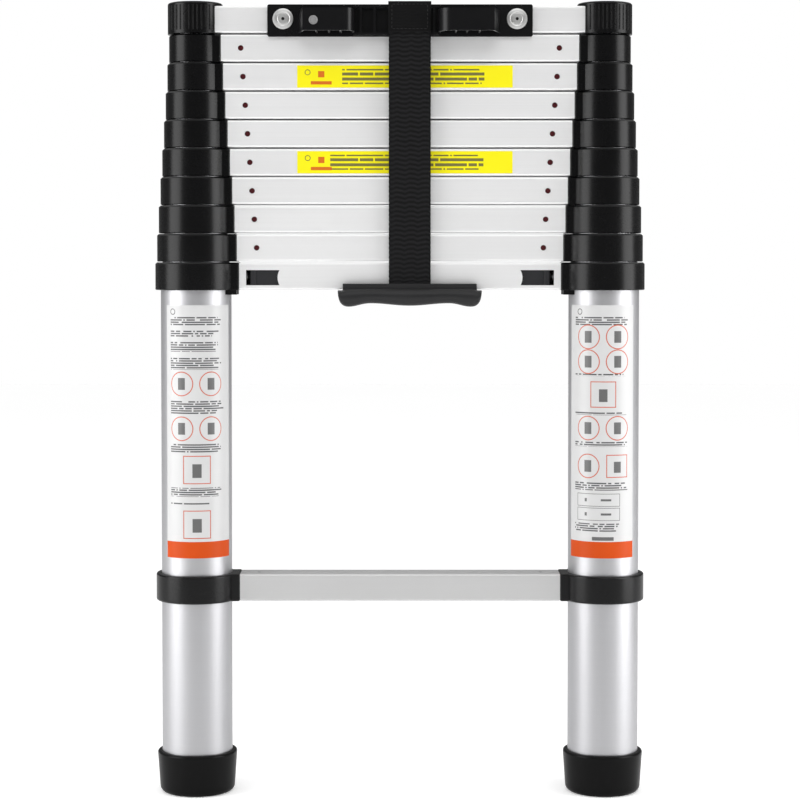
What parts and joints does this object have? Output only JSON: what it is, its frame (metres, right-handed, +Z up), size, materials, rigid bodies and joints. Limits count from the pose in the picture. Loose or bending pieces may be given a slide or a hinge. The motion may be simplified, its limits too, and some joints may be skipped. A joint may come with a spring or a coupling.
{
  "type": "telescoping ladder",
  "caption": "Closed telescoping aluminium ladder: nested tube pairs with black collars, a rung on each, rubber feet, release sliders, carrying strap and bracket.",
  "frame": {"origin": "on the floor, midway between the two feet, in the plane of the stile axes", "axes": "+X along the rungs to the right seen from the front, +Z up the stiles, -Y towards the front, where the strap bracket and release sliders are"},
  "size_m": [0.4724, 0.0891, 0.762],
  "materials": {
    "tube_aluminium": "anodised tube, drawn, satin",
    "rung_aluminium": "extruded, satin",
    "collar_plastic": "moulded black, fine texture",
    "foot_rubber": "moulded black rubber",
    "fasteners": "zinc-plated steel",
    "lock_pins": "turned steel, red indicator flag",
    "spring_steel": "drawn spring wire",
    "slider_plastic": "moulded dark grey",
    "bracket_plastic": "moulded black, semi-matte",
    "grip_plastic": "moulded black, semi-matte",
    "webbing": "woven polypropylene"
  },
  "bodies": {
    "section_0": {"base_tubes": "tube_aluminium", "feet": "foot_rubber", "bottom_rung": "rung_aluminium", "bottom_rung_collars": "collar_plastic", "bottom_rung_rivets": "fasteners", "base_collars": "collar_plastic", "release_rung": "rung_aluminium", "release_spring_left": "spring_steel", "release_spring_right": "spring_steel"},
    "release_lock_left": {"release_slider_left": "slider_plastic", "release_lock_pin_left": "lock_pins"},
    "release_lock_right": {"release_slider_right": "slider_plastic", "release_lock_pin_right": "lock_pins"},
    "section_1": {"section_1_tubes": "tube_aluminium", "section_1_collars_and_bushes": "collar_plastic", "section_1_rung": "rung_aluminium"},
    "section_1_lock_left": {"section_1_lock_pin_left": "lock_pins"},
    "section_1_lock_right": {"section_1_lock_pin_right": "lock_pins"},
    "section_2": {"section_2_tubes": "tube_aluminium", "section_2_collars_and_bushes": "collar_plastic", "section_2_rung": "rung_aluminium"},
    "section_2_lock_left": {"section_2_lock_pin_left": "lock_pins"},
    "section_2_lock_right": {"section_2_lock_pin_right": "lock_pins"},
    "section_3": {"section_3_tubes": "tube_aluminium", "section_3_collars_and_bushes": "collar_plastic", "section_3_rung": "rung_aluminium"},
    "section_3_lock_left": {"section_3_lock_pin_left": "lock_pins"},
    "section_3_lock_right": {"section_3_lock_pin_right": "lock_pins"},
    "section_4": {"section_4_tubes": "tube_aluminium", "section_4_collars_and_bushes": "collar_plastic", "section_4_rung": "rung_aluminium"},
    "section_4_lock_left": {"section_4_lock_pin_left": "lock_pins"},
    "section_4_lock_right": {"section_4_lock_pin_right": "lock_pins"},
    "section_5": {"section_5_tubes": "tube_aluminium", "section_5_collars_and_bushes": "collar_plastic", "section_5_rung": "rung_aluminium"},
    "section_5_lock_left": {"section_5_lock_pin_left": "lock_pins"},
    "section_5_lock_right": {"section_5_lock_pin_right": "lock_pins"},
    "section_6": {"section_6_tubes": "tube_aluminium", "section_6_collars_and_bushes": "collar_plastic", "section_6_rung": "rung_aluminium"},
    "section_6_lock_left": {"section_6_lock_pin_left": "lock_pins"},
    "section_6_lock_right": {"section_6_lock_pin_right": "lock_pins"},
    "section_7": {"section_7_tubes": "tube_aluminium", "section_7_collars_and_bushes": "collar_plastic", "section_7_rung": "rung_aluminium"},
    "section_7_lock_left": {"section_7_lock_pin_left": "lock_pins"},
    "section_7_lock_right": {"section_7_lock_pin_right": "lock_pins"},
    "section_8": {"section_8_tubes": "tube_aluminium", "section_8_collars_and_bushes": "collar_plastic", "section_8_rung": "rung_aluminium"},
    "section_8_lock_left": {"section_8_lock_pin_left": "lock_pins"},
    "section_8_lock_right": {"section_8_lock_pin_right": "lock_pins"},
    "section_9": {"section_9_tubes": "tube_aluminium", "end_caps_and_bushes": "collar_plastic", "top_rung": "rung_aluminium", "strap_bracket": "bracket_plastic", "bracket_fasteners": "fasteners", "carry_strap": "webbing", "carry_grip": "grip_plastic"}
  },
  "joints": [
    {"name": "section_1_slide", "type": "slide", "parent": "section_0", "child": "section_1", "axis": [0, 0, 1], "range_m": [0, 0.2727]},
    {"name": "section_2_slide", "type": "slide", "parent": "section_1", "child": "section_2", "axis": [0, 0, 1], "range_m": [0, 0.2727]},
    {"name": "section_3_slide", "type": "slide", "parent": "section_2", "child": "section_3", "axis": [0, 0, 1], "range_m": [0, 0.2727]},
    {"name": "section_4_slide", "type": "slide", "parent": "section_3", "child": "section_4", "axis": [0, 0, 1], "range_m": [0, 0.2727]},
    {"name": "section_5_slide", "type": "slide", "parent": "section_4", "child": "section_5", "axis": [0, 0, 1], "range_m": [0, 0.2727]},
    {"name": "section_6_slide", "type": "slide", "parent": "section_5", "child": "section_6", "axis": [0, 0, 1], "range_m": [0, 0.2727]},
    {"name": "section_7_slide", "type": "slide", "parent": "section_6", "child": "section_7", "axis": [0, 0, 1], "range_m": [0, 0.2727]},
    {"name": "section_8_slide", "type": "slide", "parent": "section_7", "child": "section_8", "axis": [0, 0, 1], "range_m": [0, 0.2727]},
    {"name": "section_9_slide", "type": "slide", "parent": "section_8", "child": "section_9", "axis": [0, 0, 1], "range_m": [0, 0.2727], "deforming": ["carry_strap"]},
    {"name": "release_slider_left_slide", "type": "slide", "parent": "section_0", "child": "release_lock_left", "axis": [1, 0, 0], "range_m": [0, 0.008], "stiffness_N_per_m": 700, "springref_m": -0.005, "deforming": ["release_spring_left"]},
    {"name": "release_slider_right_slide", "type": "slide", "parent": "section_0", "child": "release_lock_right", "axis": [-1, 0, 0], "range_m": [0, 0.008], "stiffness_N_per_m": 700, "springref_m": -0.005, "deforming": ["release_spring_right"]},
    {"name": "section_1_pin_left_slide", "type": "slide", "parent": "section_1", "child": "section_1_lock_left", "axis": [1, 0, 0], "range_m": [0, 0.0025], "stiffness_N_per_m": 600, "springref_m": -0.004},
    {"name": "section_1_pin_right_slide", "type": "slide", "parent": "section_1", "child": "section_1_lock_right", "axis": [-1, 0, 0], "range_m": [0, 0.0025], "stiffness_N_per_m": 600, "springref_m": -0.004},
    {"name": "section_2_pin_left_slide", "type": "slide", "parent": "section_2", "child": "section_2_lock_left", "axis": [1, 0, 0], "range_m": [0, 0.0025], "stiffness_N_per_m": 600, "springref_m": -0.004},
    {"name": "section_2_pin_right_slide", "type": "slide", "parent": "section_2", "child": "section_2_lock_right", "axis": [-1, 0, 0], "range_m": [0, 0.0025], "stiffness_N_per_m": 600, "springref_m": -0.004},
    {"name": "section_3_pin_left_slide", "type": "slide", "parent": "section_3", "child": "section_3_lock_left", "axis": [1, 0, 0], "range_m": [0, 0.0025], "stiffness_N_per_m": 600, "springref_m": -0.004},
    {"name": "section_3_pin_right_slide", "type": "slide", "parent": "section_3", "child": "section_3_lock_right", "axis": [-1, 0, 0], "range_m": [0, 0.0025], "stiffness_N_per_m": 600, "springref_m": -0.004},
    {"name": "section_4_pin_left_slide", "type": "slide", "parent": "section_4", "child": "section_4_lock_left", "axis": [1, 0, 0], "range_m": [0, 0.0025], "stiffness_N_per_m": 600, "springref_m": -0.004},
    {"name": "section_4_pin_right_slide", "type": "slide", "parent": "section_4", "child": "section_4_lock_right", "axis": [-1, 0, 0], "range_m": [0, 0.0025], "stiffness_N_per_m": 600, "springref_m": -0.004},
    {"name": "section_5_pin_left_slide", "type": "slide", "parent": "section_5", "child": "section_5_lock_left", "axis": [1, 0, 0], "range_m": [0, 0.0025], "stiffness_N_per_m": 600, "springref_m": -0.004},
    {"name": "section_5_pin_right_slide", "type": "slide", "parent": "section_5", "child": "section_5_lock_right", "axis": [-1, 0, 0], "range_m": [0, 0.0025], "stiffness_N_per_m": 600, "springref_m": -0.004},
    {"name": "section_6_pin_left_slide", "type": "slide", "parent": "section_6", "child": "section_6_lock_left", "axis": [1, 0, 0], "range_m": [0, 0.0025], "stiffness_N_per_m": 600, "springref_m": -0.004},
    {"name": "section_6_pin_right_slide", "type": "slide", "parent": "section_6", "child": "section_6_lock_right", "axis": [-1, 0, 0], "range_m": [0, 0.0025], "stiffness_N_per_m": 600, "springref_m": -0.004},
    {"name": "section_7_pin_left_slide", "type": "slide", "parent": "section_7", "child": "section_7_lock_left", "axis": [1, 0, 0], "range_m": [0, 0.0025], "stiffness_N_per_m": 600, "springref_m": -0.004},
    {"name": "section_7_pin_right_slide", "type": "slide", "parent": "section_7", "child": "section_7_lock_right", "axis": [-1, 0, 0], "range_m": [0, 0.0025], "stiffness_N_per_m": 600, "springref_m": -0.004},
    {"name": "section_8_pin_left_slide", "type": "slide", "parent": "section_8", "child": "section_8_lock_left", "axis": [1, 0, 0], "range_m": [0, 0.0025], "stiffness_N_per_m": 600, "springref_m": -0.004},
    {"name": "section_8_pin_right_slide", "type": "slide", "parent": "section_8", "child": "section_8_lock_right", "axis": [-1, 0, 0], "range_m": [0, 0.0025], "stiffness_N_per_m": 600, "springref_m": -0.004}
  ]
}
